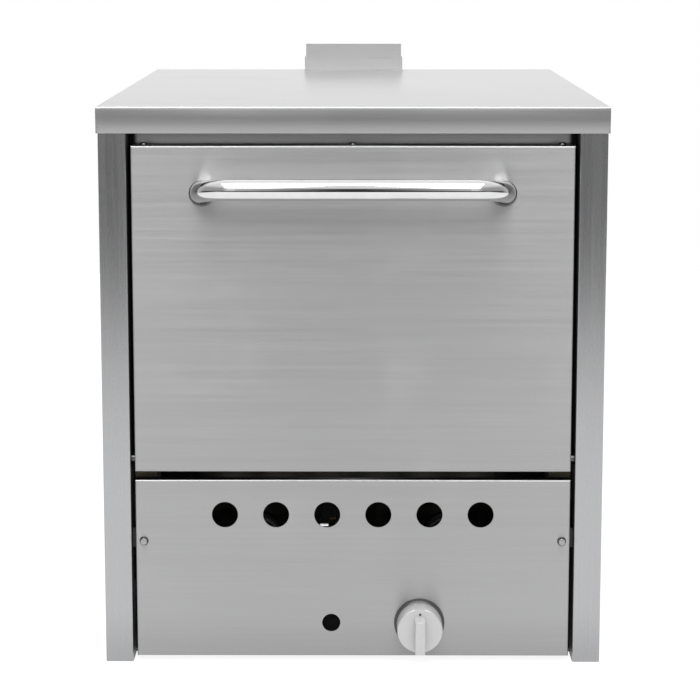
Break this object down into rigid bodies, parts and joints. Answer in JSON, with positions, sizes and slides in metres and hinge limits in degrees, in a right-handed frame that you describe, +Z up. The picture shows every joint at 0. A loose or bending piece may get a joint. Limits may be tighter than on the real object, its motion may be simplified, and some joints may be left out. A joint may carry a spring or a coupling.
{
  "type": "deck oven",
  "caption": "Countertop gas deck oven: stainless cabinet with a drop-down front door, tube handle, vented lower panel, thermostat knob and rear flue.",
  "frame": {"origin": "on the floor, at the centre of the oven's whole box in plan", "axes": "+Z up, front and door towards -Y, +X to the right of a person facing the door"},
  "size_m": [0.61, 0.8557, 0.724],
  "materials": {
    "outer_steel": "fine brushed stainless sheet",
    "frame_steel": "plain stainless sheet, dull",
    "liner_steel": "aluminised steel sheet, matt",
    "galvanised_steel": "galvanised sheet",
    "bright_screw": "bright zinc or stainless",
    "mineral_wool": "rigid mineral wool board",
    "hearth_stone": "fired cordierite, matt",
    "burner_iron": "black steel tube",
    "brass": "machined",
    "black_pipe": "black iron pipe",
    "valve_casting": "die casting",
    "button_plastic": "red",
    "bezel_black": "black skirt",
    "knob_metal": "satin metal",
    "soft_aluminium": "soft tube",
    "woven_gasket": "woven glass rope",
    "handle_chrome": "polished tube"
  },
  "bodies": {
    "cabinet": {"lid": "outer_steel", "side_panel_right": "outer_steel", "side_panel_left": "outer_steel", "back_panel": "galvanised_steel", "base_pan": "galvanised_steel", "lower_front_panel": "outer_steel", "panel_screws": "bright_screw", "cabinet_screws": "bright_screw", "oven_front_frame": "frame_steel", "liner_left": "liner_steel", "liner_right": "liner_steel", "liner_top": "liner_steel", "liner_back": "liner_steel", "oven_floor": "liner_steel", "insulation_left": "mineral_wool", "insulation_right": "mineral_wool", "insulation_top": "mineral_wool", "insulation_back": "mineral_wool", "hearth_stone_lower": "hearth_stone", "hearth_stone_upper": "hearth_stone", "deck_rail_right": "liner_steel", "deck_rail_left": "liner_steel", "deck_fronts": "liner_steel", "fire_wall": "galvanised_steel", "burner_left": "burner_iron", "burner_right": "burner_iron", "burner_support": "galvanised_steel", "burner_orifices": "brass", "gas_manifold": "black_pipe", "gas_inlet_pipe": "black_pipe", "gas_elbow": "black_pipe", "safety_valve": "valve_casting", "thermostat_body": "valve_casting", "knob_bezel": "bezel_black", "pilot_burner": "brass", "pilot_tube": "soft_aluminium", "thermocouple": "brass", "thermostat_bulb": "brass", "bulb_clips": "bright_screw", "flue_duct": "galvanised_steel", "flue_deflector": "outer_steel", "flue_collar": "outer_steel", "hinge_brackets": "galvanised_steel", "door_springs": "bright_screw"},
    "door": {"door_skin": "outer_steel", "door_inner_pan": "liner_steel", "door_insulation": "mineral_wool", "door_gasket": "woven_gasket", "door_screws": "bright_screw", "door_handle": "handle_chrome", "handle_ferrules": "handle_chrome", "handle_bolts": "bright_screw", "hinge_pivots": "bright_screw", "hinge_arms": "galvanised_steel"},
    "knob": {"control_knob": "knob_metal", "thermostat_stem": "bright_screw"},
    "reset": {"reset_button": "button_plastic"},
    "shutter_left": {"air_shutter_left": "galvanised_steel"},
    "shutter_right": {"air_shutter_right": "galvanised_steel"}
  },
  "joints": [
    {"name": "door_hinge", "type": "hinge", "parent": "cabinet", "child": "door", "pos_m": [0, -0.34515, 0.2531], "axis": [1, 0, 0], "range_deg": [0, 90], "stiffness_Nm_per_rad": 6, "springref_deg": -20.05, "deforming": ["door_springs"]},
    {"name": "knob_turn", "type": "hinge", "parent": "cabinet", "child": "knob", "pos_m": [0.0815, -0.38015, 0.0498], "axis": [0, -1, 0], "range_deg": [0, 270]},
    {"name": "reset_push", "type": "slide", "parent": "cabinet", "child": "reset", "axis": [0, 1, 0], "range_m": [0, 0.004], "stiffness_N_per_m": 400, "springref_m": -0.004},
    {"name": "shutter_left_turn", "type": "hinge", "parent": "cabinet", "child": "shutter_left", "pos_m": [-0.115, -0.28015, 0.14], "axis": [0, -1, 0], "range_deg": [0, 80]},
    {"name": "shutter_right_turn", "type": "hinge", "parent": "cabinet", "child": "shutter_right", "pos_m": [0.115, -0.28015, 0.14], "axis": [0, -1, 0], "range_deg": [0, 80]}
  ]
}
